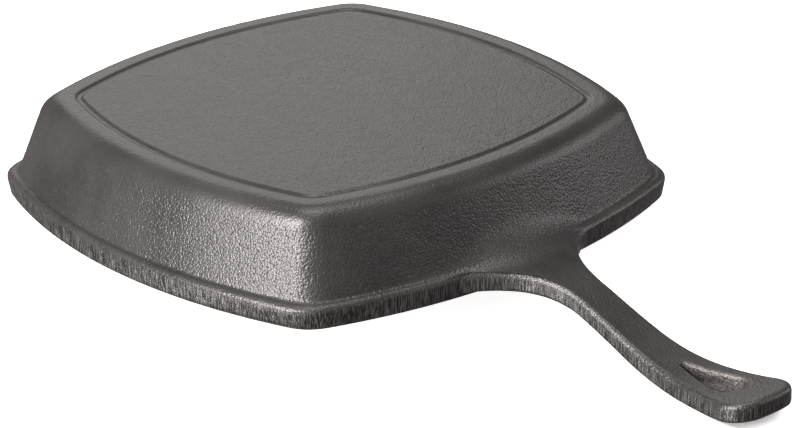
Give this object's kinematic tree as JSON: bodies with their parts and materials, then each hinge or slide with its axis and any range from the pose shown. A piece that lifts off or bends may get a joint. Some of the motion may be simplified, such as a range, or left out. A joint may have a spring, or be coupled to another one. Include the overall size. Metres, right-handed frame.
{
  "type": "cast iron skillet",
  "caption": "Square cast iron skillet lying upside down on its rim, with bowed sides, a grooved base, an S-curved handle and a teardrop hanging hole.",
  "frame": {"origin": "centre of the pan in the plane of the rim", "axes": "+Z out of the base of the upside-down pan, so the cooking well opens towards -Z; +X from the centre of the pan along the handle; turn half a turn about X to set it down for cooking"},
  "size_m": [0.4175, 0.267, 0.0687],
  "materials": {
    "seasoned_iron": "satin"
  },
  "bodies": {
    "root": {"skillet_casting": "seasoned_iron"}
  },
  "joints": []
}
